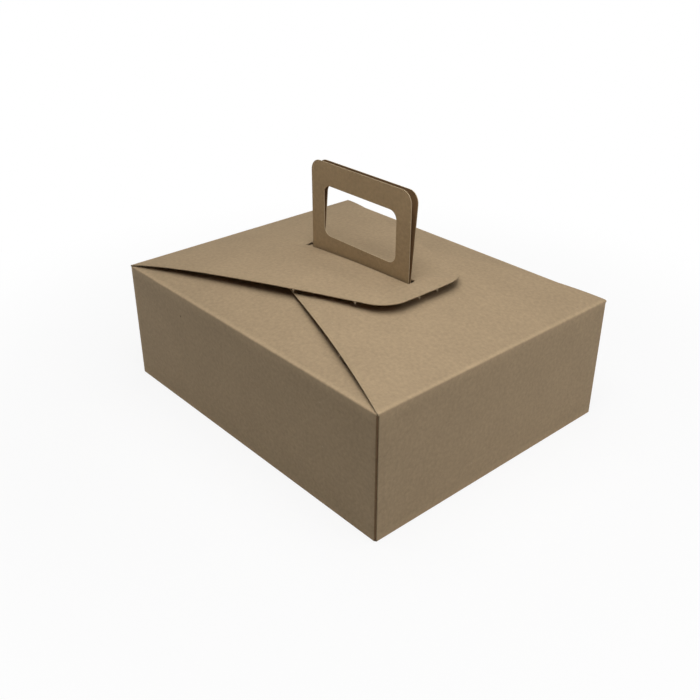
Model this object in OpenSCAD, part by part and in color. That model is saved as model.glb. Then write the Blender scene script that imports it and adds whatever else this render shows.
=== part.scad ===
// Takeaway box with handle: one die-cut sheet of kraft board, folded up and closed.
// Long walls face -Y and +Y, end walls face -X and +X, and the box stands on Z = 0.
// All sizes are in millimetres.

/* [Box] */
// Outside length of the box, along X
box_length = 250; // [200:5:320]
// Outside width of the box, along Y
box_width = 200; // [160:5:260]
// Height of the end walls, up to their top fold
box_height = 85; // [60:1:120]
// How much lower the long walls fold, so that their flaps lie under the end flaps
fold_stagger = 0.6; // [0.5:0.1:1.2]

/* [Board] */
// Thickness of the kraft board
board = 0.5; // [0.3:0.05:0.8]
// Outside radius of every crease
crease_radius = 1; // [0.9:0.1:2]
// Clear space between two flaps that lie on each other
ply_gap = 0.4; // [0.2:0.1:1]

/* [Corner tabs] */
// Width of the glued tab behind each end of an end wall
tab_width = 18; // [10:1:30]
// How far each tab narrows at its top and bottom
tab_taper = 4; // [1:1:8]
// Distance from a box corner to the cut edge of the end wall
seam_inset = 0.9; // [0.6:0.1:2]

/* [Inner flaps] */
// Height of the ridge where the two inner flaps meet, above their own fold
ridge_rise = 8.4; // [4:0.2:16]
// Distance from the fold to the swell of an inner flap
inner_swell_run = 45; // [25:1:60]
// How far the swell pulls an inner flap above its ridge
inner_swell_rise = 0.6; // [0:0.2:6]
// Length of the narrow neck between an inner flap's slanted sides and the ridge
neck_length = 52; // [20:1:65]

/* [End flaps] */
// Width across the tip of an end flap
tip_width = 67; // [40:1:100]
// Corner radius at the tip of an end flap
tip_radius = 19; // [4:1:20]
// Board left between the slot and the tip
tip_margin = 14.8; // [6:0.2:30]
// Distance from the fold to the swell of an end flap
end_swell_run = 45; // [25:1:60]
// Clearance of the outer flap over the ridge, past the two plies below it
ridge_clearance = 0.4; // [0.2:0.1:1.5]
// How far the tip of the outer flap lifts above the near end of its slot
tip_lift = 5; // [1:0.5:10]
// How much more the under flap swells than the outer flap
under_swell = 1.6; // [0:0.2:3]

/* [Slots] */
// Free length of the slot between its start and the handle
slot_lead = 6; // [3:0.5:12]
// Free length of the slot past the handle
slot_play = 1.2; // [0.6:0.1:3]
// Width of the slot
slot_width = 6; // [3.5:0.5:10]
// Distance from the slot's near edge to the front handle half
slot_clearance = 0.8; // [0.2:0.1:1]

/* [Handle] */
// Width of the handle
handle_width = 93; // [80:1:110]
// Height of the handle above the ridge
handle_height = 66.5; // [50:0.5:90]
// Radius of the handle's top corners
handle_radius = 8; // [2:0.5:12]
// Fillet where the handle widens into its flap
foot_radius = 2.5; // [1:0.5:4]
// Width of the finger window
window_width = 68.4; // [55:0.2:72]
// Height of the finger window
window_height = 34.8; // [20:0.2:38]
// Corner radius of the finger window
window_radius = 6; // [2:0.5:9]
// How much further the window of the back half reaches at its sides and foot
window_ease = 1.8; // [0:0.1:3]
// Height of the grip band above the finger window
grip_band = 15.3; // [8:0.1:18]
// Gap between the two handle halves at the ridge
handle_gap = 0.55; // [0.3:0.05:2]
// How far the back half leans away from the front half, in degrees
back_lean = 4.4; // [0:0.1:8]
// How much shorter the back half is than the front half
back_short = 1; // [0:0.1:3]

/* [Hidden] */
kraft = [0.66, 0.56, 0.42];
bend_steps = 20;
arc_steps = 6;
foot_facets = 32;
reach = 1;

mid_length = box_length - board;
mid_width = box_width - board;
fold_end = box_height - board / 2;
fold_long = fold_end - fold_stagger;
crease = crease_radius - board / 2;
pitch = board + ply_gap;
sheet_top = box_height + ridge_rise + handle_height + reach;

// Distances along an end flap, measured from its fold
near_handle = (mid_length - handle_width) / 2;
far_handle = near_handle + handle_width;
slot_start = near_handle - slot_lead;
slot_end = far_handle + slot_play;
end_flap = slot_end + tip_margin;

// Heights and places of the ridge and the handle halves
ridge_z = fold_long + ridge_rise;
front_y = -(board + handle_gap) / 2;
back_y = (board + handle_gap) / 2;
slot_y = front_y - board / 2 - slot_clearance;
neck_half = handle_width / 2 + foot_radius;

// Heights above the end fold
pass_rise = ridge_z + 2 * pitch + ridge_clearance - fold_end;
tip_rise = pass_rise + tip_lift;
pass_t = bend_place(near_handle, end_swell_run, end_flap);
swell_rise = (pass_rise - pow(pass_t, 2) * tip_rise) / (2 * pass_t * (1 - pass_t));

function unit(v) = v / norm(v);
function normal(a, b) = [a[1] - b[1], b[0] - a[0]] / norm(b - a);
function backwards(list) = [for (i = [len(list) - 1 : -1 : 0]) list[i]];

// A bend that leaves the fold, pulls towards a swell and ends at a tip
function bend(swell, tip, t) = 2 * t * (1 - t) * swell + t * t * tip;

// Where along that bend a distance from the fold is reached
function bend_place(run, swell_run, tip_run) =
    let (a = tip_run - 2 * swell_run, b = 2 * swell_run)
    abs(a) < 0.001 ? run / b : (sqrt(b * b + 4 * a * run) - b) / (2 * a);

function bend_height(run, swell, tip) =
    bend(swell, tip, bend_place(run, swell[0], tip[0]))[1];

// The lower of two heights, with a soft change from one to the other
function soft_min(a, b, softness) = -softness * ln(exp(-a / softness) + exp(-b / softness));

// Arc of radius r in the corner at p between the directions of a and b
function arc(a, p, b, r) =
    let (
        u = unit(a - p),
        v = unit(b - p),
        half = acos(max(-1, min(1, u * v))) / 2,
        centre = p + unit(u + v) * r / sin(half),
        from = p + u * r / tan(half) - centre,
        to = p + v * r / tan(half) - centre,
        start = atan2(from[1], from[0]),
        turn = atan2(from[0] * to[1] - from[1] * to[0], from * to)
    )
    [for (i = [0 : arc_steps]) centre + r * [cos(start + turn * i / arc_steps), sin(start + turn * i / arc_steps)]];

// Closed outline from [x, y, radius] corners
function outline(corners) =
    let (n = len(corners))
    [
        for (i = [0 : n - 1])
            let (
                a = corners[(i + n - 1) % n],
                p = corners[i],
                b = corners[(i + 1) % n]
            )
            each p[2] > 0 ? arc([a[0], a[1]], [p[0], p[1]], [b[0], b[1]], p[2]) : [[p[0], p[1]]]
    ];

// Open path whose listed corners are creased
function creased(path) =
    [
        for (i = [0 : len(path) - 1])
            each len(path[i]) > 2
                ? arc([path[i - 1][0], path[i - 1][1]], [path[i][0], path[i][1]],
                      [path[i + 1][0], path[i + 1][1]], crease)
                : [path[i]]
    ];

// One side of a board that follows a path along its middle
function side(path, offset) =
    [
        for (i = [0 : len(path) - 1])
            let (
                before = normal(path[max(i - 1, 0)], path[max(i, 1)]),
                after = normal(path[min(i, len(path) - 2)], path[min(i + 1, len(path) - 1)]),
                mitre = unit(before + after)
            )
            path[i] + mitre * offset / (mitre * after)
    ];

// Section through the board along a path
module section(path) {
    polygon(concat(side(path, board / 2), backwards(side(path, -board / 2))));
}

// Board that runs across the box, with its section in the Y-Z plane
module across(path, length) {
    rotate([90, 0, 90])
        linear_extrude(length, center = true)
            section(path);
}

// Board that runs along the box, with its section in the X-Z plane
module along(path, width) {
    rotate([90, 0, 0])
        linear_extrude(width, center = true)
            section(path);
}

function rect(w, low, high) = [[-w / 2, low], [w / 2, low], [w / 2, high], [-w / 2, high]];

// Heights of the outer and the under end flap above their fold
function outer_rise(run) =
    bend_height(run, [end_swell_run, swell_rise], [end_flap, tip_rise]);
function under_rise(run) =
    soft_min(
        bend_height(run, [end_swell_run, swell_rise + under_swell], [end_flap, tip_rise]),
        outer_rise(max(mid_length - run, 0)) - pitch,
        ply_gap
    );

// Middle of the board from one handle half down to the base and up to the other
function inner_bend(ridge_y) =
    let (span = mid_width / 2 - abs(ridge_y), swell = [inner_swell_run, ridge_rise + inner_swell_rise])
    [
        for (i = [1 : bend_steps - 1])
            bend(swell, [span, ridge_rise], i / bend_steps)
    ];

function half_across(ridge_y, handle_tip) =
    let (toward = sign(ridge_y))
    concat(
        [
            [0, board / 2],
            [toward * mid_width / 2, board / 2, 1],
            [toward * mid_width / 2, fold_long, 1]
        ],
        [for (p = inner_bend(ridge_y)) [toward * (mid_width / 2 - p[0]), fold_long + p[1]]],
        [[ridge_y, ridge_z, 1]],
        [handle_tip]
    );

front_tip = [front_y, ridge_z + handle_height];
back_tip = [back_y, ridge_z] + (handle_height - back_short) * [sin(back_lean), cos(back_lean)];

function end_bend(outer) =
    [
        for (i = [1 : bend_steps])
            let (run = end_flap * i / bend_steps)
            [run, outer ? outer_rise(run) : under_rise(run)]
    ];

function half_along(toward, outer) =
    concat(
        [
            [0, board / 2],
            [toward * mid_length / 2, board / 2, 1],
            [toward * mid_length / 2, fold_end, 1]
        ],
        [for (p = end_bend(outer)) [toward * (mid_length / 2 - p[0]), fold_end + p[1]]]
    );

// Finger window seen from the front
module finger_window(ease) {
    half = window_width / 2 + ease;
    high = ridge_z + handle_height - grip_band;
    low = high - window_height - ease;
    polygon(outline([
        [-half, low, window_radius],
        [half, low, window_radius],
        [half, high, window_radius],
        [-half, high, window_radius]
    ]));
}

// Handle and inner flaps seen from the front, with the finger window cut out
module handle_view() {
    foot_z = ridge_z + crease_radius;
    top_z = ridge_z + handle_height;
    difference() {
        union() {
            polygon(rect(box_length, -reach, foot_z));
            polygon(rect(2 * neck_half, foot_z - reach, foot_z + foot_radius));
            polygon(outline([
                [-handle_width / 2, foot_z, 0],
                [handle_width / 2, foot_z, 0],
                [handle_width / 2, top_z, handle_radius],
                [-handle_width / 2, top_z, handle_radius]
            ]));
        }
        for (toward = [-1, 1])
            translate([toward * neck_half, foot_z + foot_radius])
                circle(foot_radius, $fn = foot_facets);
        finger_window(0);
    }
}

// Inner flaps seen from above: full width at the folds, a neck at the ridge
module inner_plan() {
    wall_half = mid_length / 2 - board - crease;
    polygon([
        [-wall_half, -box_width / 2 - reach],
        [wall_half, -box_width / 2 - reach],
        [wall_half, -box_width / 2 + crease_radius],
        [neck_half, -neck_length],
        [neck_half, neck_length],
        [wall_half, box_width / 2 - crease_radius],
        [wall_half, box_width / 2 + reach],
        [-wall_half, box_width / 2 + reach],
        [-wall_half, box_width / 2 - crease_radius],
        [-neck_half, neck_length],
        [-neck_half, -neck_length],
        [-wall_half, -box_width / 2 + crease_radius]
    ]);
}

// Base, long walls, inner flaps and both handle halves
module long_side() {
    path = concat(
        backwards(creased(half_across(front_y, front_tip))),
        [for (p = creased(half_across(back_y, back_tip))) if (p[0] > 0) p]
    );
    base_and_walls = 2 * (mid_length / 2 - board - crease);
    difference() {
        intersection() {
            across(path, base_and_walls);
            rotate([90, 0, 0])
                linear_extrude(2 * box_width, center = true)
                    handle_view();
            union() {
                linear_extrude(sheet_top)
                    inner_plan();
                translate([-base_and_walls / 2, -box_width / 2 - reach, -reach])
                    cube([base_and_walls, box_width + 2 * reach, fold_long - crease + reach]);
            }
        }
        translate([0, box_width / 2, 0])
            rotate([90, 0, 0])
                linear_extrude(box_width / 2)
                    finger_window(window_ease);
    }
}

// Outline of an end flap on its wall's side of the box, with its slot
module end_plan(toward) {
    half = box_width / 2 - seam_inset;
    fold_x = mid_length / 2;
    difference() {
        scale([toward, 1])
            polygon(outline([
                [fold_x + reach, -half, 0],
                [fold_x + reach, half, 0],
                [fold_x - crease_radius, half, 0],
                [fold_x - end_flap, tip_width / 2, tip_radius],
                [fold_x - end_flap, -tip_width / 2, tip_radius],
                [fold_x - crease_radius, -half, 0]
            ]));
        translate([toward > 0 ? fold_x - slot_end : -fold_x + slot_start, slot_y])
            square([slot_end - slot_start, slot_width]);
    }
}

// One end wall with its flap: the outer flap starts at -X, the under flap at +X
module end_side(toward, outer) {
    path = creased(half_along(toward, outer));
    width = box_width - 2 * seam_inset;
    wall_depth = crease_radius + board;
    intersection() {
        along(path, width);
        union() {
            linear_extrude(sheet_top)
                end_plan(toward);
            translate([toward > 0 ? mid_length / 2 - wall_depth : -mid_length / 2 - reach, -width / 2, -reach])
                cube([wall_depth + reach, width, box_height]);
        }
        translate([0, 0, sheet_top / 2])
            cube([box_length + 2 * reach, box_width, sheet_top], center = true);
    }
}

// Vertical fold at a box corner and the tab glued behind the end wall
module corner_tab() {
    tab_x = mid_length / 2 - board;
    wall_y = mid_width / 2;
    low = crease_radius;
    high = fold_long - crease;
    path = creased([
        [tab_x - crease_radius - reach, wall_y],
        [tab_x, wall_y, 1],
        [tab_x, wall_y - tab_width]
    ]);
    intersection() {
        linear_extrude(high)
            section(path);
        rotate([90, 0, 90])
            linear_extrude(box_length)
                polygon([
                    [wall_y + reach, low],
                    [wall_y + reach, high],
                    [wall_y - crease_radius, high],
                    [wall_y - tab_width, high - tab_taper],
                    [wall_y - tab_width, low + tab_taper],
                    [wall_y - crease_radius, low]
                ]);
    }
}

module carton() {
    color(kraft)
        union() {
            long_side();
            end_side(-1, true);
            end_side(1, false);
            for (x = [0, 1], y = [0, 1])
                mirror([x, 0, 0])
                    mirror([0, y, 0])
                        corner_tab();
        }
}

carton();
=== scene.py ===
"""Takeaway box with handle: one die-cut sheet of unbleached kraft board, folded up and closed.

The sheet is cut flat, as one blank with its tabs, windows and slots. Each point of it is then
carried along the fold lines to its place on the closed box, and remembers where it lay on the
blank, so that fibres and flecks follow the board round its folds.

Lengths are in metres. X runs along the box and its handle, the outer end flap is hinged at -X,
the upright handle half faces -Y, and the box stands on Z = 0.
"""

import math
from bisect import bisect_right
from itertools import accumulate

import bmesh
import bpy
from bpy.props import FloatProperty, FloatVectorProperty, IntProperty, PointerProperty
from mathutils import Matrix, Vector, noise


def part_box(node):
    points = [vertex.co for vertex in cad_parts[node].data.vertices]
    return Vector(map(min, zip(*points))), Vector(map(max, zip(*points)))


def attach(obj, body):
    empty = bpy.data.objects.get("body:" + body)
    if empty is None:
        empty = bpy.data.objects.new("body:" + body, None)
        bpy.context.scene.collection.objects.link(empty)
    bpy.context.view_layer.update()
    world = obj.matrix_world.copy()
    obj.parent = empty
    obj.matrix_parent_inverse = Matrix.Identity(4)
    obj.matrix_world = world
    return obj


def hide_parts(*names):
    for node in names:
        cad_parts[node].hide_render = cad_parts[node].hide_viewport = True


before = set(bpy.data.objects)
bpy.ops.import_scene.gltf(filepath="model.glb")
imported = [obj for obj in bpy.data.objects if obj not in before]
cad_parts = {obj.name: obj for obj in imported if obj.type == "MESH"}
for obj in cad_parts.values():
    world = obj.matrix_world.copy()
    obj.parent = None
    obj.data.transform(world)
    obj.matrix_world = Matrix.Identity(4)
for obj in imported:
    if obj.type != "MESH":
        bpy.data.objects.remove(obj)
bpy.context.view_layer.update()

bl_info = {
    "name": "Takeaway Box with Handle",
    "version": (1, 0, 0),
    "blender": (4, 5, 0),
    "location": "3D View > Sidebar > Takeaway Box",
    "description": "Cuts, folds and finishes a kraft board takeaway box over its packed solid",
    "category": "Add Mesh",
}

MM = 0.001
CARTON_LOW, CARTON_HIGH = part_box("carton")

CREASE_STEPS = 6
FLAP_STATIONS = 60
ROUND_STEPS = 10
TOUCH = 0.01 * MM
STRAIGHT = math.radians(0.1)
OUTSIDE, CUT_EDGE, INSIDE = 0, 1, 2

# Distances between the lines that let the board bend. The tabs use those of the base and walls.
BASE_GRID = 9 * MM
WALL_GRID = 6 * MM
LONG_FLAP_GRID = 3 * MM
LONG_FLAP_COLUMNS = 4 * MM
END_FLAP_GRID = 2.2 * MM
END_FLAP_COLUMNS = 2.4 * MM
CREASE_SUPPORT = 0.4 * MM

# Share of the short edge at the handle's foot that its fillet takes up.
FILLET_ROOM = 0.98
# The board's soft waves die out within this distance of a fold or a free edge.
WAVE_FADE = 14 * MM
# How far the paler stretch reaches on each side of a crease: part board whitened by the fold, part painted
# highlight.
CREASE_REACH = 1.8 * MM
# The under flap's droop starts and is full at these distances from its fold.
DROOP_START, DROOP_FULL = 60 * MM, 130 * MM
# What the handle does to the outer flap at each end of its slot: direction, reach, width, height.
FAR_RIDGE = ((0.45, 0.89), 34 * MM, 2.6 * MM, 1.7 * MM)
NEAR_HOLLOW = ((-0.87, -0.49), 40 * MM, 3.2 * MM, -0.8 * MM)

# Nicks in the sides of the end flaps: which flap, distance from its fold, which side of it.
SIDE_NICKS = ((-1, 125.5 * MM, -1), (-1, 166.8 * MM, -1), (1, 50.6 * MM, -1), (1, 50.6 * MM, 1))
# Nicks in the tip of the outer flap: distance from its middle.
TIP_NICKS = (-8.9 * MM, 6.7 * MM)
# Strands of a torn nick: place along the cut in millimetres, droop, length in millimetres.
NICK_STRANDS = ((-0.35, 1.2, 1.7), (0.0, 2.0, 2.3), (0.4, 1.0, 1.3))
STRAND_THICKNESS = 0.26 * MM
# How deep in the board a strand starts.
STRAND_ROOT = 0.2 * MM
# Thickness at a strand's tip and unevenness of its surface, both against its thickness.
STRAND_TIP, STRAND_RAGGEDNESS = 0.35, 0.3
# How far the strands of a nick fan out.
STRAND_SPREAD = 0.5
# Without a seed of its own, the strands' unevenness would follow the clock.
STRAND_SEED = 7

# How far fibres are drawn out along the blank's two axes.
FIBRES_ALONG, FIBRES_ACROSS = (0.12, 1, 1), (1, 0.2, 1)
PALE_STRENGTH, DARK_STRENGTH, SPECK_STRENGTH = 0.45, 0.5, 0.8

FLOOR_HALF = 4
# Share of white in the floor near the box, and the distances between which it rises to all white.
NEAR_WHITE = 0.88
WHITE_START, WHITE_FULL = 0.16, 0.42
# Lamps: name, place, size, setting that holds the power. All face the same point.
LAMPS = (
    ("softbox_top", (0.0, 0.0, 0.8), 0.7, "top_light"),
    ("softbox_corner", (0.17, -0.15, 0.46), 0.25, "corner_light"),
    ("softbox_right", (0.45, 0.1, 0.5), 0.3, "right_light"),
    ("panel_low_right", (0.6, 0.5, 0.045), 0.09, "low_right_light"),
    ("panel_low_left", (-0.5, -0.3, 0.045), 0.09, "low_left_light"),
)
LAMP_AIM = (0, 0, 0.05)


def length(name, description, default):
    return FloatProperty(name=name, description=description, default=default, unit="LENGTH", precision=5)


def amount(name, description, default, high=1.0):
    return FloatProperty(name=name, description=description, default=default, min=0.0, max=high)


def watts(name, description, default):
    return FloatProperty(
        name=name, description=description, default=default, min=0.0, max=500.0, unit="POWER"
    )


def colour(name, description, default):
    return FloatVectorProperty(
        name=name, description=description, default=default, size=4, min=0.0, max=1.0, subtype="COLOR"
    )


class BoxSizes(bpy.types.PropertyGroup):
    """The board, and the box up to its top folds."""

    box_length: length("Length", "Outside length of the box", CARTON_HIGH.x - CARTON_LOW.x)
    box_width: length("Width", "Outside width of the box", CARTON_HIGH.y - CARTON_LOW.y)
    box_height: length("Height", "Height of the end walls", 85 * MM)
    fold_stagger: length("Fold stagger", "How much lower the long walls fold", 0.6 * MM)
    board: length("Board", "Thickness of the board", 0.5 * MM)
    crease_radius: length("Crease radius", "Outside radius of every crease", 1 * MM)
    seam_inset: length("Seam inset", "From a corner to the cut edge of the end wall", 1.1 * MM)
    seam_cap: length("Seam cap", "How far the fold of an end flap reaches over the seam", 0.8 * MM)
    seam_gap: length("Seam gap", "Space between a glued tab and its end wall", 0.25 * MM)
    tab_width: length("Tab width", "Width of the glued corner tabs", 18 * MM)
    tab_taper: length("Tab taper", "How far a tab narrows at its top and bottom", 4 * MM)
    ripple: length("Ripple", "How far the board strays from a true plane", 0.22 * MM)
    ripple_size: length("Ripple size", "Size of the board's soft waves", 62 * MM)


class FlapSizes(bpy.types.PropertyGroup):
    """The flaps that close the top."""

    ridge_rise: length("Ridge rise", "Ridge of the inner flaps above their fold", 8.4 * MM)
    inner_swell_run: length("Inner swell run", "From the fold to the inner flap's swell", 45 * MM)
    inner_swell_rise: length("Inner swell rise", "Height of the inner flap's swell", 8.6 * MM)
    neck_length: length("Neck length", "From the ridge to the inner flap's slanted sides", 52 * MM)
    end_flap: length("End flap", "Length of an end flap from its fold", 188.3 * MM)
    tip_width: length("Tip width", "Width across the tip of an end flap", 67 * MM)
    tip_radius: length("Tip radius", "Corner radius at the tip of an end flap", 19.4 * MM)
    outer_swell_run: length("Outer swell run", "From the fold to the outer flap's swell", 38 * MM)
    outer_swell_rise: length("Outer swell rise", "Height of the outer flap's swell", 9.9 * MM)
    outer_tip_rise: length("Outer tip rise", "Height of the outer flap's tip", 15.6 * MM)
    outer_crown: length("Outer crown", "How much the outer flap bulges between its sides", 1.8 * MM)
    under_near_run: length("Under near run", "From the fold to the under flap's first swell", 42 * MM)
    under_near_rise: length("Under near rise", "Height of the under flap's first swell", 9.7 * MM)
    under_far_run: length("Under far run", "From the fold to the under flap's second swell", 118 * MM)
    under_far_rise: length("Under far rise", "Height of the under flap's second swell", 12 * MM)
    under_tip_rise: length("Under tip rise", "Height of the under flap's tip", 8.4 * MM)
    under_crown: length("Under crown", "How much the under flap bulges between its sides", 0.8 * MM)
    under_droop: length("Under droop", "How far the sides of the under flap hang beside the ridge", 1.6 * MM)
    under_tip_width: length("Under tip width", "Width across the tip of the under flap", 63 * MM)
    slot_start: length("Slot start", "From the fold to the near end of a slot", 71.25 * MM)
    slot_end: length("Slot end", "From the fold to the far end of a slot", 172.45 * MM)
    slot_front: length("Slot front", "Near edge of a slot, in front of the ridge", 1.95 * MM)
    slot_width: length("Slot width", "Width of a slot", 6 * MM)


class HandleSizes(bpy.types.PropertyGroup):
    """The two handle halves."""

    handle_width: length("Width", "Width of the handle", 93 * MM)
    handle_height: length("Height", "Height of the handle above the ridge", 66.5 * MM)
    handle_radius: length("Corner radius", "Radius of the top corners", 8 * MM)
    foot_radius: length("Foot radius", "Fillet where the handle widens into its flap", 2.5 * MM)
    window_width: length("Window width", "Width of the finger window", 68.4 * MM)
    window_height: length("Window height", "Height of the finger window", 34.8 * MM)
    window_radius: length("Window radius", "Corner radius of the finger window", 6 * MM)
    window_ease: length("Window ease", "How much further the back half's window reaches", 1.8 * MM)
    grip_band: length("Grip band", "Board above the finger window", 15.3 * MM)
    handle_gap: length("Gap", "Space between the halves at the ridge", 0.55 * MM)
    back_short: length("Back half shorter", "How much shorter the back half is", 1 * MM)
    back_lean: FloatProperty(
        name="Back lean",
        description="How far the back half leans away from the front half",
        default=math.radians(4.4),
        subtype="ANGLE",
    )


class KraftFinish(bpy.types.PropertyGroup):
    """Colours and surface of the unbleached board, with painted shade and painted light in some colours."""

    face: colour("Face", "Colour of the board's faces", (0.415, 0.305, 0.186, 1))
    edge: colour("Cut edge", "Colour of the die-cut edges", (0.50, 0.385, 0.245, 1))
    pale_fleck: colour("Pale fleck", "Colour of pale fibres", (0.62, 0.50, 0.34, 1))
    dark_fleck: colour("Dark fleck", "Colour of dark fibres", (0.13, 0.085, 0.048, 1))
    # Partly the inner side's own tone, partly painted shade: darkened to stand in for the shade inside the
    # box, under the flaps and between the handle halves.
    inside: colour("Inside", "Colour of the board's inner side", (0.25, 0.15, 0.072, 1))
    torn: colour("Torn fibre", "Colour of the board where a nick tore", (0.46, 0.36, 0.24, 1))
    # Painted shade: the tab slivers that show in the corner seams are darkened to stand in for the seam's
    # shadow.
    painted_seam_shade: colour("Seam shade", "Tint of the glued tabs in the seams", (0.5, 0.42, 0.35, 1))
    # Painted light: the handle halves are tinted warmer to stand in for warm light bounced onto them from the
    # board.
    handle_painted_bounce_tint: colour("Handle warmth", "Tint of the handle halves", (1.0, 0.955, 0.86, 1))
    cloud: amount("Cloud", "Strength of the wide, soft patches", 0.07)
    mottle: amount("Mottle", "Strength of the small patches", 0.24)
    fibre: amount("Fibre", "Strength of the fine fibres", 0.10)
    roughness: amount("Roughness", "How matt the board is", 0.88)
    cloud_size: length("Cloud size", "Size of the wide patches", 24 * MM)
    mottle_size: length("Mottle size", "Size of the small patches", 2.4 * MM)
    fibre_size: length("Fibre size", "Width of a fibre", 0.35 * MM)
    fleck_spacing: length("Fleck spacing", "Distance between flecks", 7 * MM)
    # Paler board along the creases: partly whitened fibres at the fold, partly painted highlight on the
    # rounded folds.
    crease_paling_and_painted_highlight: amount("Crease light", "How much paler the board is along its creases", 0.17)
    speck_size: length("Speck size", "Radius of the dark speck on the front wall", 1 * MM)
    speck_place: FloatVectorProperty(
        name="Speck place",
        description="Where the dark speck lies on the front wall",
        default=(-63.7 * MM, -100 * MM, 68.7 * MM),
        subtype="TRANSLATION",
    )
    nick_reach: amount("Nick reach", "How long the torn stubs are, against their usual length", 1.0, high=3.0)


class StudioSettings(bpy.types.PropertyGroup):
    """Camera, floor and lights."""

    camera_place: FloatVectorProperty(
        name="Camera",
        description="Where the camera stands",
        default=(0.3988, -0.3624, 0.3343),
        subtype="TRANSLATION",
    )
    camera_aim: FloatVectorProperty(
        name="Aim",
        description="What the camera looks at",
        default=(0.0399, -0.0434, 0.066),
        subtype="TRANSLATION",
    )
    camera_roll: FloatProperty(
        name="Roll", description="How far the camera leans", default=math.radians(0.1), subtype="ANGLE"
    )
    lens: FloatProperty(name="Lens", description="Focal length", default=45.87, unit="CAMERA")
    floor: colour("Floor", "Colour of the floor", (0.8, 0.8, 0.8, 1))
    sky: amount("Sky", "Strength of the even light from all round", 0.0, high=5.0)
    top_light: watts("Top light", "Power of the softbox overhead", 3.3)
    corner_light: watts("Corner light", "Power of the softbox over the front corner", 0.62)
    right_light: watts("Right light", "Power of the softbox over the end wall", 0.54)
    low_right_light: watts("Low right light", "Power of the low panel right of the box", 0.68)
    low_left_light: watts("Low left light", "Power of the low panel left of the box", 0.38)
    lines: IntProperty(name="Floor lines", description="Divisions of the floor", default=4, min=1)


def soft_step(value, low, high):
    """0 up to low, 1 from high, and an even rise between them."""
    share = min(max((value - low) / (high - low), 0.0), 1.0)
    return share * share * (3.0 - 2.0 * share)


def bezier(controls, share):
    points = [Vector(control) for control in controls]
    while len(points) > 1:
        points = [a.lerp(b, share) for a, b in zip(points, points[1:])]
    return points[0]


def outer_side(direction):
    """The side of the board that shows on the closed box, for a strip followed away from the base."""
    return Vector((direction.y, -direction.x)).normalized()


class FoldPath:
    """The middle of a strip of board, seen edge on, from the middle of the base to its far end.

    Each station has a point (outwards, upwards) and the way that the outer face looks there.
    A place is the length of board between a station and the start of the strip.
    """

    def __init__(self, corners, crease):
        self.points = []
        self.facings = []
        bends = []
        spots = [Vector(corner[:2]) for corner in corners]
        for index, (spot, corner) in enumerate(zip(spots, corners)):
            arriving = (spot - spots[max(index - 1, 0)]).normalized()
            leaving = (spots[min(index + 1, len(spots) - 1)] - spot).normalized()
            if len(corner) > 2:
                first = len(self.points)
                self.bend(spot, arriving, leaving, crease)
                bends.append((first, len(self.points) - 1))
            else:
                self.points.append(spot)
                self.facings.append(outer_side(arriving + leaving))
        steps = [(b - a).length for a, b in zip(self.points, self.points[1:])]
        self.places = list(accumulate(steps, initial=0.0))
        self.creases = [(self.places[first], self.places[last]) for first, last in bends]
        self.end = self.places[-1]

    def bend(self, corner, arriving, leaving, radius):
        turn = math.atan2(arriving.cross(leaving), arriving.dot(leaving))
        hand = math.copysign(1.0, turn)
        start = corner - arriving * radius * math.tan(abs(turn) / 2)
        centre = start - outer_side(arriving) * radius * hand
        for step in range(CREASE_STEPS + 1):
            facing = Matrix.Rotation(turn * step / CREASE_STEPS, 2) @ outer_side(arriving)
            self.points.append(centre + facing * radius * hand)
            self.facings.append(facing)

    def at(self, place):
        """Point and facing at a place along the strip."""
        index = min(max(bisect_right(self.places, place), 1), len(self.places) - 1)
        before, after = self.places[index - 1], self.places[index]
        share = (place - before) / (after - before)
        point = self.points[index - 1].lerp(self.points[index], share)
        facing = self.facings[index - 1].lerp(self.facings[index], share)
        return point, facing.normalized()

    def place_inward(self, outward):
        """Place of the flap's point that lies this far from the middle of the box."""
        fold = self.creases[1][1]
        flap = [(p.x, s) for p, s in zip(self.points, self.places) if s >= fold - TOUCH]
        for (x0, s0), (x1, s1) in zip(flap, flap[1:]):
            if x0 >= outward >= x1:
                return s0 + (s1 - s0) * (x0 - outward) / (x0 - x1)
        raise ValueError(f"the flap never comes to {outward:.4f} m from the middle")

    def from_crease(self, place):
        """Distance to the nearest crease."""
        return min(max(start - place, place - stop, 0.0) for start, stop in self.creases)

    def cut_lines(self, spacings, support):
        """Places to cut the strip across: closely through the creases, evenly between them."""
        lines = []
        starts = [0.0, *(stop for start, stop in self.creases)]
        stops = [*(start for start, stop in self.creases), self.end]
        for start, stop, spacing in zip(starts, stops, spacings):
            count = max(1, round((stop - start) / spacing))
            lines += [start + (stop - start) * step / count for step in range(1, count)]
            lines += [start + support, stop - support]
        for start, stop in self.creases:
            lines += [start + (stop - start) * step / CREASE_STEPS for step in range(CREASE_STEPS + 1)]
        return sorted(line for line in lines if TOUCH < line < self.end - TOUCH)


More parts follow.
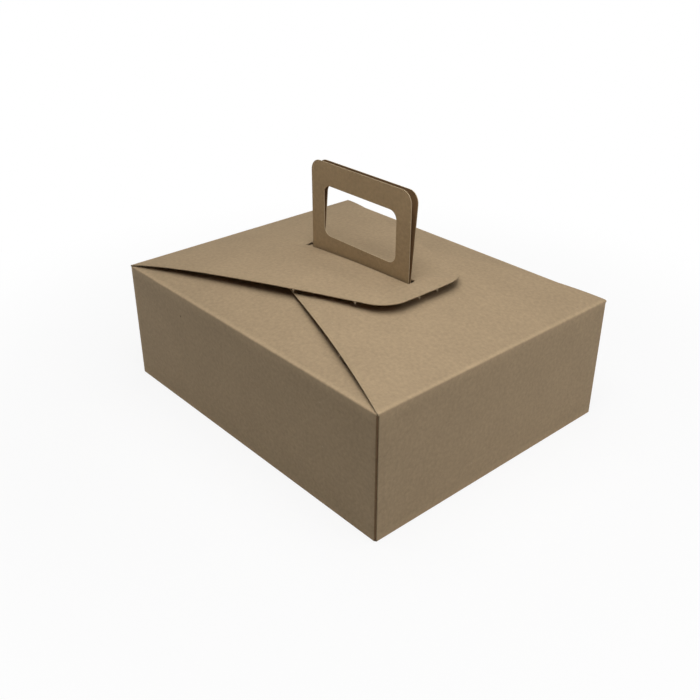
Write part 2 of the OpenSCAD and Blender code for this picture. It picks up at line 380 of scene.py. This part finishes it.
class KraftSheet:
    """The flat blank's outline, and where each of its points lies on the closed box."""

    def __init__(self, box, flaps, handle):
        self.box, self.flaps, self.handle = box, flaps, handle
        crease = box.crease_radius - box.board / 2
        self.mid_length = box.box_length - box.board
        self.mid_width = box.box_width - box.board
        self.fold_end = box.box_height - box.board / 2
        self.fold_long = self.fold_end - box.fold_stagger
        self.ridge_z = self.fold_long + flaps.ridge_rise
        self.wall_half = self.mid_length / 2 - box.board - crease
        self.end_half = box.box_width / 2 - box.seam_inset
        self.fold_half = self.end_half + box.seam_cap
        self.long_paths = {
            toward: FoldPath(self.long_corners(toward), crease) for toward in (-1, 1)
        }
        self.end_paths = {
            toward: FoldPath(self.end_corners(toward), crease) for toward in (-1, 1)
        }
        tab_x = self.mid_length / 2 - box.board - box.seam_gap
        self.tab_path = FoldPath(
            [(self.wall_half - crease, 0), (tab_x, 0, "crease"), (tab_x, box.tab_width)], crease
        )
        self.tab_root = crease
        self.tab_end = self.wall_half + self.tab_path.end - self.tab_root

    def base_and_wall(self, middle, fold):
        half_board = self.box.board / 2
        return [(0, half_board), (middle / 2, half_board, "crease"), (middle / 2, fold, "crease")]

    def long_corners(self, toward):
        """Base, long wall, inner flap and handle half on the -Y or +Y side."""
        flaps, handle = self.flaps, self.handle
        ridge = (self.box.board + handle.handle_gap) / 2
        span = self.mid_width / 2 - ridge
        controls = [(0, 0), (flaps.inner_swell_run, flaps.inner_swell_rise), (span, flaps.ridge_rise)]
        slope = [bezier(controls, step / FLAP_STATIONS) for step in range(1, FLAP_STATIONS)]
        lean = handle.back_lean if toward > 0 else 0.0
        height = handle.handle_height - (handle.back_short if toward > 0 else 0.0)
        return [
            *self.base_and_wall(self.mid_width, self.fold_long),
            *((self.mid_width / 2 - run, self.fold_long + rise) for run, rise in slope),
            (ridge, self.ridge_z, "crease"),
            (ridge + height * math.sin(lean), self.ridge_z + height * math.cos(lean)),
        ]

    def end_corners(self, toward):
        """Base, end wall and end flap: the outer flap is on the -X side."""
        flaps = self.flaps
        if toward < 0:
            controls = [
                (0, 0),
                (flaps.outer_swell_run, flaps.outer_swell_rise),
                (flaps.end_flap, flaps.outer_tip_rise),
            ]
        else:
            controls = [
                (0, 0),
                (flaps.under_near_run, flaps.under_near_rise),
                (flaps.under_far_run, flaps.under_far_rise),
                (flaps.end_flap, flaps.under_tip_rise),
            ]
        slope = [bezier(controls, step / FLAP_STATIONS) for step in range(1, FLAP_STATIONS + 1)]
        return [
            *self.base_and_wall(self.mid_length, self.fold_end),
            *((self.mid_length / 2 - run, self.fold_end + rise) for run, rise in slope),
        ]

    def handle_place(self, toward, height):
        """Place on a handle half at this height above the ridge."""
        path = self.long_paths[toward]
        foot = path.creases[2][1]
        lean = self.handle.back_lean if toward > 0 else 0.0
        return foot + (height - (path.at(foot)[0].y - self.ridge_z)) / math.cos(lean)

    def end_place(self, toward, run):
        """Place on an end flap at this distance from its fold, seen from above."""
        return self.end_paths[toward].place_inward(self.mid_length / 2 - run)

    def tip_half(self, toward):
        """Half the width across the tip of an end flap."""
        return (self.flaps.tip_width if toward < 0 else self.flaps.under_tip_width) / 2

    def quadrant(self, toward_x, toward_y):
        """Blank corners (u, v, rounding) from an end flap's tip round to a handle half's top."""
        box, flaps, handle = self.box, self.flaps, self.handle
        long_path = self.long_paths[toward_y]
        tip = self.end_paths[toward_x].end
        fold = self.end_place(toward_x, box.crease_radius)
        tab_low = long_path.creases[0][1]
        tab_high = long_path.creases[1][0]
        neck_half = handle.handle_width / 2 + handle.foot_radius
        neck = long_path.place_inward(flaps.neck_length)
        foot = self.handle_place(toward_y, box.crease_radius)
        tip_half = self.tip_half(toward_x)
        slant = math.atan2(self.fold_half - tip_half, tip - fold)
        lean_cut = math.tan((math.pi / 2 + slant) / 2)
        cap_low = self.end_paths[toward_x].creases[1][0]
        corners = [
            (tip, tip_half, flaps.tip_radius / lean_cut),
            (fold, self.fold_half, 0),
            (cap_low, self.fold_half, 0),
            (cap_low - box.seam_cap, self.end_half, 0),
            (self.wall_half, self.end_half, 0),
            (self.wall_half, tab_low, 0),
            (self.tab_end, tab_low + box.tab_taper, 0),
            (self.tab_end, tab_high - box.tab_taper, 0),
            (self.wall_half, tab_high, 0),
            (self.wall_half, long_path.creases[1][1], 0),
            (neck_half, neck, 0),
            (neck_half, foot, 0),
            (handle.handle_width / 2, foot, handle.foot_radius * FILLET_ROOM),
            (handle.handle_width / 2, long_path.end, handle.handle_radius),
        ]
        return [(toward_x * u, toward_y * v, rounding) for u, v, rounding in corners]

    def outline(self):
        """Blank corners all the way round."""
        return [
            *self.quadrant(1, 1),
            *reversed(self.quadrant(-1, 1)),
            *self.quadrant(-1, -1),
            *reversed(self.quadrant(1, -1)),
        ]

    def openings(self):
        """Corners of the finger windows and of the slots."""
        flaps, handle = self.flaps, self.handle
        window_top = handle.handle_height - handle.grip_band
        holes = []
        for toward in (-1, 1):
            ease = handle.window_ease if toward > 0 else 0.0
            half = handle.window_width / 2 + ease
            low = toward * self.handle_place(toward, window_top - handle.window_height - ease)
            high = toward * self.handle_place(toward, window_top)
            holes.append((-half, half, low, high, handle.window_radius))
            start = toward * self.end_place(toward, flaps.slot_start)
            stop = toward * self.end_place(toward, flaps.slot_end)
            front = -flaps.slot_front
            holes.append((start, stop, front, front + flaps.slot_width, self.box.board))
        return [
            [(left, low, r), (right, low, r), (right, high, r), (left, high, r)]
            for left, right, low, high, r in holes
        ]

    def waves(self, u, v):
        """Slow waves of a board that isn't quite flat, from -1 to 1."""
        return noise.noise(Vector((u, v, 0)) / self.box.ripple_size)

    def flap_share(self, run):
        """How far along an end flap a distance from its fold comes, from 0 to 1."""
        return min(max(run / self.flaps.end_flap, 0.0), 1.0)

    def flap_half(self, toward, run):
        """Half the width of an end flap at a distance from its fold."""
        return self.fold_half + (self.tip_half(toward) - self.fold_half) * self.flap_share(run)

    def crown(self, toward, run, across):
        """Bulge of an end flap between its free sides, less the droop of the under flap's sides."""
        flaps = self.flaps
        share = self.flap_share(run)
        aside = min(abs(across) / self.flap_half(toward, run), 1.0) ** 2
        height = flaps.outer_crown if toward < 0 else flaps.under_crown
        droop = flaps.under_droop * soft_step(run, DROOP_START, DROOP_FULL) if toward > 0 else 0.0
        return height * 4 * share * (1 - share) * (1 - aside) - droop * aside

    def strain(self, x, y):
        """The ridge and the hollow that the handle makes in the outer flap at its slot's ends."""
        flaps = self.flaps
        slot_end = -self.mid_length / 2 + flaps.slot_end
        slot_start = -self.mid_length / 2 + flaps.slot_start
        back = flaps.slot_width - flaps.slot_front
        starts = ((slot_end, back, FAR_RIDGE), (slot_start, -flaps.slot_front, NEAR_HOLLOW))
        return sum(
            height * crest(x - start_x, y - start_y, direction, reach, width)
            for start_x, start_y, (direction, reach, width, height) in starts
        )

    def on_end(self, u, v):
        """Whether a point of the blank belongs to an end wall or its flap."""
        half = self.end_half if abs(u) <= self.tab_end + TOUCH else self.fold_half
        return abs(u) > self.wall_half + TOUCH and abs(v) <= half + TOUCH

    def folded(self, flat):
        """Where a point (u, v, height over the middle) of the blank lies on the closed box."""
        u, v, height = flat
        side_x = math.copysign(1, u)
        side_y = math.copysign(1, v)
        if abs(u) <= self.wall_half + TOUCH:
            return self.on_long_strip(u, v, height, side_y)
        if self.on_end(u, v):
            return self.on_end_strip(u, v, height, side_x)
        point, facing = self.tab_path.at(abs(u) - self.wall_half + self.tab_root)
        wall, _ = self.long_paths[side_y].at(abs(v))
        spot = point + facing * height
        return Vector((side_x * spot.x, side_y * (wall.x - spot.y), wall.y))

    def on_long_strip(self, u, v, height, side_y):
        path = self.long_paths[side_y]
        point, facing = path.at(abs(v))
        fade = soft_step(path.from_crease(abs(v)), 0, WAVE_FADE)
        if abs(v) < path.creases[1][0]:
            fade *= soft_step(self.wall_half - abs(u), 0, WAVE_FADE)
            stray = -self.box.ripple * (1 + self.waves(u, v))
        else:
            stray = self.box.ripple * self.waves(u, v)
        spot = point + facing * (height + fade * stray)
        return Vector((u, side_y * spot.x, spot.y))

    def on_end_strip(self, u, v, height, side_x):
        path = self.end_paths[side_x]
        point, facing = path.at(abs(u))
        fade = soft_step(path.from_crease(abs(u)), 0, WAVE_FADE)
        if abs(u) < path.creases[1][0]:
            fade *= soft_step(self.end_half - abs(v), 0, WAVE_FADE)
            stray = -self.box.ripple * (1 + self.waves(u, v)) * fade
        else:
            run = self.mid_length / 2 - point.x
            stray = self.box.ripple * self.waves(u, v) * fade
            stray += self.crown(side_x, run, v)
            if side_x < 0:
                stray += self.strain(-point.x, v)
        spot = point + facing * (height + stray)
        return Vector((side_x * spot.x, v, spot.y))


def crest(x, y, direction, reach, width):
    """A soft fold that starts at the origin, runs along the direction and fades out."""
    along = x * direction[0] + y * direction[1]
    aside = x * direction[1] - y * direction[0]
    spread = width * (1 + max(along, 0.0) / reach)
    fade = soft_step(along, -width, width) * (1 - soft_step(along, 0.2 * reach, reach))
    return fade * math.exp(-0.5 * (aside / spread) ** 2)


def nick_spots(sheet):
    """Blank points and outward directions of the nicks that held the blank in its sheet."""
    flaps = sheet.flaps
    spots = []
    for toward, run, side in SIDE_NICKS:
        slant = (sheet.fold_half - sheet.tip_half(toward)) / flaps.end_flap
        half = sheet.flap_half(toward, run)
        spots.append((toward * sheet.end_place(toward, run), side * half, (toward * slant, side)))
    for across in TIP_NICKS:
        spots.append((-sheet.end_paths[-1].end, across, (-1, 0)))
    return spots


def tear_strand(bm, root, direction, length, thickness):
    """One torn fibre bundle: a flattened, tapering stub that bends down and ends ragged."""
    strand = bmesh.ops.create_cone(
        bm, cap_ends=True, segments=6, radius1=thickness, radius2=thickness * STRAND_TIP, depth=length
    )["verts"]
    bmesh.ops.translate(bm, verts=strand, vec=(0, 0, length / 2))
    for vert in strand:
        vert.co += noise.noise_vector(vert.co / thickness + root / MM) * thickness * STRAND_RAGGEDNESS
    turn = Vector((0, 0, 1)).rotation_difference(direction).to_matrix()
    bmesh.ops.rotate(bm, verts=strand, cent=(0, 0, 0), matrix=turn)
    bmesh.ops.translate(bm, verts=strand, vec=root)


def new_object(name, bm, *materials):
    mesh = bpy.data.meshes.new(name)
    bm.to_mesh(mesh)
    bm.free()
    for material in materials:
        mesh.materials.append(material)
    piece = bpy.data.objects.new(name, mesh)
    bpy.context.scene.collection.objects.link(piece)
    return piece


def draw_loop(bm, corners):
    """A flat face with its corners rounded, opened again so that only its outline is left."""
    verts = [bm.verts.new((u, v, 0)) for u, v, _ in corners]
    bm.faces.new(verts)
    roundings = sorted({rounding for _, _, rounding in corners if rounding > 0})
    groups = [[vert for vert, corner in zip(verts, corners) if corner[2] == size] for size in roundings]
    for size, group in zip(roundings, groups):
        bmesh.ops.bevel(
            bm,
            geom=group,
            offset=size,
            offset_type="OFFSET",
            affect="VERTICES",
            segments=ROUND_STEPS,
            profile=0.5,
            material=-1,
        )
    bmesh.ops.delete(bm, geom=bm.faces[:], context="FACES_ONLY")


def cut_across(bm, faces, axis, places):
    """Cuts the faces along straight lines across one axis, and returns the faces they became."""
    edges = {edge for face in faces for edge in face.edges}
    verts = {vert for face in faces for vert in face.verts}
    geom = [*faces, *edges, *verts]
    normal = Vector((axis == "U", axis == "V", 0))
    for place in places:
        cut = bmesh.ops.bisect_plane(bm, geom=geom, dist=TOUCH / 10, plane_co=normal * place, plane_no=normal)
        geom = cut["geom"]
    return [item for item in geom if isinstance(item, bmesh.types.BMFace)]


def both_sides(places):
    return [side * place for place in places for side in (-1, 1)]


def even_lines(half, spacing):
    count = round(half / spacing)
    return [half * step / count for step in range(-count + 1, count)]


def clear_diagonals(bm):
    """Leaves the grid and the outline, without the slanting edges of the first filling."""
    slanting = [
        edge
        for edge in bm.edges
        if len(edge.link_faces) == 2
        and all(abs(edge.verts[0].co[axis] - edge.verts[1].co[axis]) > TOUCH for axis in (0, 1))
    ]
    bmesh.ops.dissolve_edges(bm, edges=slanting, use_verts=False, use_face_split=False)
    straight = [
        vert
        for vert in bm.verts
        if len(vert.link_edges) == 2 and vert.calc_edge_angle(math.pi) < STRAIGHT
    ]
    bmesh.ops.dissolve_verts(bm, verts=straight)


def cut_blank(sheet):
    """The flat blank with its windows and slots, gridded finely enough to bend."""
    bm = bmesh.new()
    for corners in (sheet.outline(), *sheet.openings()):
        draw_loop(bm, corners)
    bmesh.ops.triangle_fill(bm, use_beauty=True, edges=bm.edges[:], normal=(0, 0, 1))
    wall_u, wall_v = sheet.wall_half, sheet.long_paths[1].creases[0][0]
    cut_across(bm, bm.faces[:], "U", [-wall_u, wall_u])
    cut_across(bm, bm.faces[:], "V", [-wall_v, wall_v])

    def strip(test):
        return [face for face in bm.faces if test(*(abs(c) for c in face.calc_center_median()[:2]))]

    base = strip(lambda u, v: u < wall_u and v < wall_v)
    base = cut_across(bm, base, "U", even_lines(wall_u, BASE_GRID))
    cut_across(bm, base, "V", even_lines(wall_v, BASE_GRID))
    for toward in (-1, 1):
        path = sheet.end_paths[toward]
        ends = [face for face in strip(sheet.on_end) if face.calc_center_median().x * toward > 0]
        lines = path.cut_lines((WALL_GRID, WALL_GRID, END_FLAP_GRID), CREASE_SUPPORT)
        lines = [line for line in lines if line > wall_u]
        ends = cut_across(bm, ends, "U", [toward * line for line in lines])
        cut_across(bm, ends, "V", even_lines(sheet.end_half, END_FLAP_COLUMNS))
        path = sheet.long_paths[toward]
        sides = strip(lambda u, v: u < wall_u and v > wall_v)
        sides = [face for face in sides if face.calc_center_median().y * toward > 0]
        spacings = (WALL_GRID, WALL_GRID, LONG_FLAP_GRID, LONG_FLAP_GRID)
        lines = [line for line in path.cut_lines(spacings, CREASE_SUPPORT) if line > wall_v]
        sides = cut_across(bm, sides, "V", [toward * line for line in lines])
        cut_across(bm, sides, "U", even_lines(wall_u, LONG_FLAP_COLUMNS))
    tabs = strip(lambda u, v: u > wall_u and not sheet.on_end(u, v))
    lines = sheet.tab_path.cut_lines((BASE_GRID, WALL_GRID), CREASE_SUPPORT)
    lines = [line - sheet.tab_root + wall_u for line in lines]
    tabs = cut_across(bm, tabs, "U", both_sides(line for line in lines if line > wall_u + TOUCH))
    lines = sheet.long_paths[1].cut_lines((WALL_GRID, BASE_GRID), CREASE_SUPPORT)
    cut_across(bm, tabs, "V", both_sides(lines))
    clear_diagonals(bm)
    return bm


def fold_blank(bm, sheet):
    """Gives the flat blank its thickness, notes where each point lies on it, and folds it up."""
    board = sheet.box.board
    bmesh.ops.solidify(bm, geom=bm.faces[:], thickness=board)
    low = min(vert.co.z for vert in bm.verts)
    bmesh.ops.translate(bm, verts=bm.verts[:], vec=(0, 0, -low - board / 2))
    bm.normal_update()
    for face in bm.faces:
        face.smooth = True
        face.material_index = OUTSIDE if face.normal.z > 0.5 else INSIDE if face.normal.z < -0.5 else CUT_EDGE
    for edge in bm.edges:
        edge.smooth = len({face.material_index for face in edge.link_faces}) == 1
    blank = bm.verts.layers.float_vector.new("blank")
    crease = bm.verts.layers.float.new("crease")
    tab = bm.verts.layers.float.new("tab")
    handle = bm.verts.layers.float.new("handle")
    for vert in bm.verts:
        u, v, _ = vert.co
        on_end = sheet.on_end(u, v)
        path = sheet.end_paths[math.copysign(1, u)] if on_end else sheet.long_paths[math.copysign(1, v)]
        vert[blank] = vert.co
        # Nearness to a crease, for the paler stretch that is partly painted highlight.
        vert[crease] = 1 - soft_step(path.from_crease(abs(u if on_end else v)), 0, CREASE_REACH)
        # Marks the tabs, which carry the painted seam shade.
        if abs(u) > sheet.wall_half and not on_end:
            vert[tab] = 1.0
        # Marks the handle halves, which carry the painted warm tint of bounce light.
        elif not on_end:
            vert[handle] = soft_step(abs(v), path.creases[2][0], path.creases[2][1])
        vert.co = sheet.folded(vert.co)
    bmesh.ops.recalc_face_normals(bm, faces=bm.faces[:])


class Signal:
    """A shader socket that can be reckoned with: each step of arithmetic adds its Math node."""

    def __init__(self, bench, socket):
        self.bench, self.socket = bench, socket

    def reckon(self, operation, first, second):
        return self.bench.add("ShaderNodeMath", {"operation": operation}, {0: first, 1: second})

    def __add__(self, other):
        return self.reckon("ADD", self, other)

    def __radd__(self, other):
        return self.reckon("ADD", other, self)

    def __sub__(self, other):
        return self.reckon("SUBTRACT", self, other)

    def __mul__(self, other):
        return self.reckon("MULTIPLY", self, other)

    def __rmul__(self, other):
        return self.reckon("MULTIPLY", other, self)


class Bench:
    """Builds the nodes of one material or world."""

    def __init__(self, owner):
        owner.use_nodes = True
        self.tree = owner.node_tree
        self.tree.nodes.clear()

    def add(self, kind, settings=None, sockets=None, output=0):
        """Adds a node, sets it up, fills or links its sockets, and returns one of its outputs."""
        node = self.tree.nodes.new(kind)
        for name, value in (settings or {}).items():
            setattr(node, name, value)
        for name, value in (sockets or {}).items():
            if isinstance(value, Signal):
                self.tree.links.new(value.socket, node.inputs[name])
            else:
                node.inputs[name].default_value = value
        return Signal(self, node.outputs[output]) if node.outputs else None

    def noise(self, vector, size, detail=2.0, roughness=0.5):
        """Even noise about 0, from about -0.5 to 0.5, with patches of a size in metres."""
        sockets = {"Vector": vector, "Scale": 1 / size, "Detail": detail, "Roughness": roughness}
        return self.add("ShaderNodeTexNoise", None, sockets) - 0.5

    def stretched(self, vector, factors):
        return self.add("ShaderNodeVectorMath", {"operation": "MULTIPLY"}, {0: vector, 1: factors})

    def step(self, value, low, high):
        """0 at low, 1 at high, and a soft rise between them."""
        settings = {"interpolation_type": "SMOOTHSTEP"}
        return self.add("ShaderNodeMapRange", settings, {"Value": value, "From Min": low, "From Max": high})

    def mix(self, factor, under, over):
        return self.add("ShaderNodeMix", {"data_type": "RGBA"}, {0: factor, 6: under, 7: over}, 2)

    def toned(self, tint, tone):
        return self.add("ShaderNodeVectorMath", {"operation": "SCALE"}, {0: tint, "Scale": tone})

    def tinted(self, factor, under, tint):
        """Under, multiplied by a tint where the factor is 1."""
        settings = {"data_type": "RGBA", "blend_type": "MULTIPLY"}
        return self.add("ShaderNodeMix", settings, {0: factor, 6: under, 7: tint}, 2)

    def mark(self, name):
        """Value of a vertex attribute."""
        return self.add("ShaderNodeAttribute", {"attribute_name": name}, None, "Fac")

    def speck(self, place, centre, radius):
        """1 within a small round spot, 0 outside it."""
        away = self.add("ShaderNodeVectorMath", {"operation": "DISTANCE"}, {0: place, 1: centre}, "Value")
        return self.step(away, radius, radius * 0.4)

    def flecks(self, vector, spacing, size, share):
        """Small spots, one in each cell of a scatter, kept in a share of the cells."""
        scatter = {"Vector": vector, "Scale": 1 / spacing}
        distance = self.add("ShaderNodeTexVoronoi", None, scatter, "Distance")
        chance = self.add("ShaderNodeTexVoronoi", None, scatter, "Color")
        chosen = self.step(chance, 1 - share, 1 - share + 0.02)
        return self.step(distance, size, size * 0.3) * chosen

    def bump(self, height, strength, depth):
        return self.add("ShaderNodeBump", None, {"Strength": strength, "Distance": depth, "Height": height})

    def surface(self, sockets):
        shader = self.add("ShaderNodeBsdfPrincipled", None, sockets)
        self.add("ShaderNodeOutputMaterial", None, {"Surface": shader})


def kraft_grain(bench, finish):
    """Place on the blank, wide clouds, small mottling and fine fibres, shared by faces and edges."""
    blank = bench.add("ShaderNodeAttribute", {"attribute_name": "blank"}, None, "Vector")
    clouds = bench.noise(blank, finish.cloud_size)
    mottling = bench.noise(blank, finish.mottle_size, detail=3, roughness=0.6)
    fibre_size = finish.fibre_size
    along = bench.noise(bench.stretched(blank, FIBRES_ALONG), fibre_size, roughness=0.6)
    across = bench.noise(bench.stretched(blank, FIBRES_ACROSS), fibre_size * 1.3, roughness=0.6)
    return blank, clouds, mottling, along + across


def kraft_face(finish):
    material = bpy.data.materials.new("kraft_face")
    bench = Bench(material)
    blank, clouds, mottling, fibres = kraft_grain(bench, finish)
    tone = 1 + 2 * finish.cloud * clouds + 2 * finish.mottle * mottling + finish.fibre * fibres
    # Paler along the creases: partly whitened fibres, partly painted highlight.
    tint = bench.toned(finish.face[:3], tone + finish.crease_paling_and_painted_highlight * bench.mark("crease"))
    lengthwise, crosswise = bench.stretched(blank, (0.45, 1, 0)), bench.stretched(blank, (1, 0.5, 0))
    pale = bench.flecks(lengthwise, finish.fleck_spacing, size=0.07, share=0.4)
    dark = bench.flecks(crosswise, finish.fleck_spacing * 1.4, size=0.05, share=0.35)
    tint = bench.mix(PALE_STRENGTH * pale, tint, finish.pale_fleck)
    tint = bench.mix(DARK_STRENGTH * dark, tint, finish.dark_fleck)
    place = bench.add("ShaderNodeTexCoord", None, None, "Object")
    speck = bench.speck(place, finish.speck_place, finish.speck_size)
    tint = bench.mix(SPECK_STRENGTH * speck, tint, finish.dark_fleck)
    # Painted bounce light: a warm tint on the handle halves.
    tint = bench.tinted(bench.mark("handle"), tint, finish.handle_painted_bounce_tint)
    # Painted shade on the tabs, standing in for the shadow in the corner seams.
    tint = bench.tinted(bench.mark("tab"), tint, finish.painted_seam_shade)
    height = 0.6 * mottling + 0.5 * fibres
    sockets = {
        "Base Color": tint,
        "Roughness": finish.roughness + 0.12 * mottling,
        "Specular IOR Level": 0.3,
        "Normal": bench.bump(height, strength=0.6, depth=0.06 * MM),
    }
    bench.surface(sockets)
    return material


def bare_board(name, finish, tint, fibre, strength, depth):
    """Board without its smooth outer side: the inner side or a die-cut edge."""
    material = bpy.data.materials.new(name)
    bench = Bench(material)
    _, clouds, mottling, fibres = kraft_grain(bench, finish)
    tone = 1 + 2 * finish.cloud * clouds + finish.mottle * mottling + fibre * fibres
    sockets = {
        "Base Color": bench.toned(tint[:3], tone),
        "Roughness": 0.95,
        "Specular IOR Level": 0.2,
        "Normal": bench.bump(fibres, strength, depth),
    }
    bench.surface(sockets)
    return material


# The inner side's material: its own tone, darkened further as painted shade.
def kraft_inside(finish):
    return bare_board("kraft_inside", finish, finish.inside, finish.fibre, strength=0.6, depth=0.06 * MM)


def kraft_edge(finish):
    return bare_board("kraft_cut_edge", finish, finish.edge, 2 * finish.fibre, strength=0.8, depth=0.08 * MM)


def torn_fibre(finish):
    material = bpy.data.materials.new("torn_fibre")
    bench = Bench(material)
    place = bench.add("ShaderNodeTexCoord", None, None, "Object")
    strands = bench.noise(bench.stretched(place, (1, 1, 0.3)), finish.fibre_size)
    sockets = {
        "Base Color": bench.toned(finish.torn[:3], 1 + 0.5 * strands),
        "Roughness": 1.0,
        "Specular IOR Level": 0.1,
        "Normal": bench.bump(strands, strength=0.8, depth=0.1 * MM),
    }
    bench.surface(sockets)
    return material


def material_once(name, make, finish):
    return bpy.data.materials.get(name) or make(finish)


class TAKEAWAY_OT_fold_carton(bpy.types.Operator):
    """Cut the kraft blank, fold it up and close it"""

    bl_idname = "takeaway.fold_carton"
    bl_label = "Fold the Carton"

    def execute(self, context):
        scene = context.scene
        sheet = KraftSheet(scene.takeaway_box, scene.takeaway_flaps, scene.takeaway_handle)
        bm = cut_blank(sheet)
        fold_blank(bm, sheet)
        finish = scene.takeaway_kraft
        face = material_once("kraft_face", kraft_face, finish)
        edge = material_once("kraft_cut_edge", kraft_edge, finish)
        inside = material_once("kraft_inside", kraft_inside, finish)
        carton = new_object("folded_carton", bm, face, edge, inside)
        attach(carton, "root")
        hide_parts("carton")
        return {"FINISHED"}


class TAKEAWAY_OT_tear_nicks(bpy.types.Operator):
    """Add the torn stubs left where nicks held the blank in its sheet"""

    bl_idname = "takeaway.tear_nicks"
    bl_label = "Tear the Nicks"

    def execute(self, context):
        scene = context.scene
        sheet = KraftSheet(scene.takeaway_box, scene.takeaway_flaps, scene.takeaway_handle)
        finish = scene.takeaway_kraft
        noise.seed_set(STRAND_SEED)
        bm = bmesh.new()
        for u, v, outward in nick_spots(sheet):
            root = sheet.folded(Vector((u, v, 0)))
            inside = sheet.folded(Vector((u - outward[0] * MM, v - outward[1] * MM, 0)))
            away = (root - inside).normalized()
            along = away.cross(Vector((0, 0, 1))).normalized()
            for place, droop, reach in NICK_STRANDS:
                direction = (away + along * place * STRAND_SPREAD - Vector((0, 0, droop))).normalized()
                start = root - away * STRAND_ROOT + along * place * MM
                tear_strand(bm, start, direction, reach * MM * finish.nick_reach, STRAND_THICKNESS)
        bmesh.ops.recalc_face_normals(bm, faces=bm.faces[:])
        nicks = new_object("torn_nicks", bm, material_once("torn_fibre", torn_fibre, finish))
        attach(nicks, "root")
        return {"FINISHED"}


def soft_light(name, place, aim, size, power):
    light = bpy.data.lights.new(name, "AREA")
    light.shape = "SQUARE"
    light.size = size
    light.energy = power
    lamp = bpy.data.objects.new(name, light)
    lamp.location = place
    lamp.visible_camera = False
    lamp.rotation_euler = (Vector(aim) - Vector(place)).to_track_quat("-Z", "Y").to_euler()
    bpy.context.scene.collection.objects.link(lamp)


def seen_directly(bench):
    """1 for rays that show the background: from the camera, off gloss or through glass."""
    path = bench.add("ShaderNodeLightPath", None, None, "Is Camera Ray")
    node = path.socket.node
    glossy = Signal(bench, node.outputs["Is Glossy Ray"])
    through = Signal(bench, node.outputs["Is Transmission Ray"])
    return path.reckon("MAXIMUM", path, path.reckon("MAXIMUM", glossy, through))


def floor_finish(studio):
    material = bpy.data.materials.new("studio_floor")
    bench = Bench(material)
    matt = bench.add("ShaderNodeBsdfDiffuse", None, {"Color": studio.floor})
    white = bench.add("ShaderNodeBsdfDiffuse", None, {"Color": (1, 1, 1, 1)})
    glow = bench.add("ShaderNodeEmission", None, {"Color": (1, 1, 1, 1), "Strength": 1.0})
    place = bench.add("ShaderNodeTexCoord", None, None, "Object")
    away = bench.add("ShaderNodeVectorMath", {"operation": "LENGTH"}, {0: place}, "Value")
    cleared = NEAR_WHITE + (1 - NEAR_WHITE) * bench.step(away, WHITE_START, WHITE_FULL)
    shown = bench.add("ShaderNodeMixShader", None, {0: cleared, 1: white, 2: glow})
    surface = bench.add("ShaderNodeMixShader", None, {0: seen_directly(bench), 1: matt, 2: shown})
    bench.add("ShaderNodeOutputMaterial", None, {"Surface": surface})
    return material


def set_sky(studio):
    world = bpy.data.worlds.new("studio_sky")
    bpy.context.scene.world = world
    bench = Bench(world)
    seen = seen_directly(bench)
    strength = studio.sky + (1 - studio.sky) * seen
    background = bench.add("ShaderNodeBackground", None, {"Color": (1, 1, 1, 1), "Strength": strength})
    bench.add("ShaderNodeOutputWorld", None, {"Surface": background})


class TAKEAWAY_OT_set_studio(bpy.types.Operator):
    """Set up the pale floor, the soft lights and the camera"""

    bl_idname = "takeaway.set_studio"
    bl_label = "Set the Studio"

    def execute(self, context):
        scene = context.scene
        studio = scene.takeaway_studio
        bm = bmesh.new()
        bmesh.ops.create_grid(bm, x_segments=studio.lines, y_segments=studio.lines, size=FLOOR_HALF)
        floor = new_object("studio_floor", bm, floor_finish(studio))
        set_sky(studio)
        for name, place, size, setting in LAMPS:
            soft_light(name, place, LAMP_AIM, size, getattr(studio, setting))
        lens = bpy.data.cameras.new("camera")
        lens.lens = studio.lens
        lens.sensor_width = 36
        camera = bpy.data.objects.new("camera", lens)
        place = Vector(studio.camera_place)
        look = (Vector(studio.camera_aim) - place).to_track_quat("-Z", "Y").to_matrix()
        look = look @ Matrix.Rotation(studio.camera_roll, 3, "Z")
        camera.matrix_world = Matrix.Translation(place) @ look.to_4x4()
        scene.collection.objects.link(camera)
        scene.camera = camera
        scene.view_settings.view_transform = "Standard"
        return {"FINISHED"}


class TAKEAWAY_PT_panel(bpy.types.Panel):
    """Sizes, finish and steps of the takeaway box"""

    bl_label = "Takeaway Box"
    bl_idname = "TAKEAWAY_PT_panel"
    bl_space_type = "VIEW_3D"
    bl_region_type = "UI"
    bl_category = "Takeaway Box"

    def draw(self, context):
        for operator in OPERATORS:
            self.layout.operator(operator.bl_idname)
        for name in GROUPS:
            settings = getattr(context.scene, name)
            box = self.layout.box()
            for prop in settings.bl_rna.properties:
                if prop.identifier not in ("rna_type", "name"):
                    box.prop(settings, prop.identifier)


GROUPS = {
    "takeaway_box": BoxSizes,
    "takeaway_flaps": FlapSizes,
    "takeaway_handle": HandleSizes,
    "takeaway_kraft": KraftFinish,
    "takeaway_studio": StudioSettings,
}
OPERATORS = (TAKEAWAY_OT_fold_carton, TAKEAWAY_OT_tear_nicks, TAKEAWAY_OT_set_studio)


def register():
    for cls in (*GROUPS.values(), *OPERATORS, TAKEAWAY_PT_panel):
        bpy.utils.register_class(cls)
    for name, group in GROUPS.items():
        setattr(bpy.types.Scene, name, PointerProperty(type=group))


def unregister():
    for name in GROUPS:
        delattr(bpy.types.Scene, name)
    for cls in (TAKEAWAY_PT_panel, *OPERATORS, *GROUPS.values()):
        bpy.utils.unregister_class(cls)


def main():
    register()
    bpy.ops.takeaway.fold_carton()
    bpy.ops.takeaway.tear_nicks()
    bpy.ops.takeaway.set_studio()


if __name__ == "__main__":
    main()
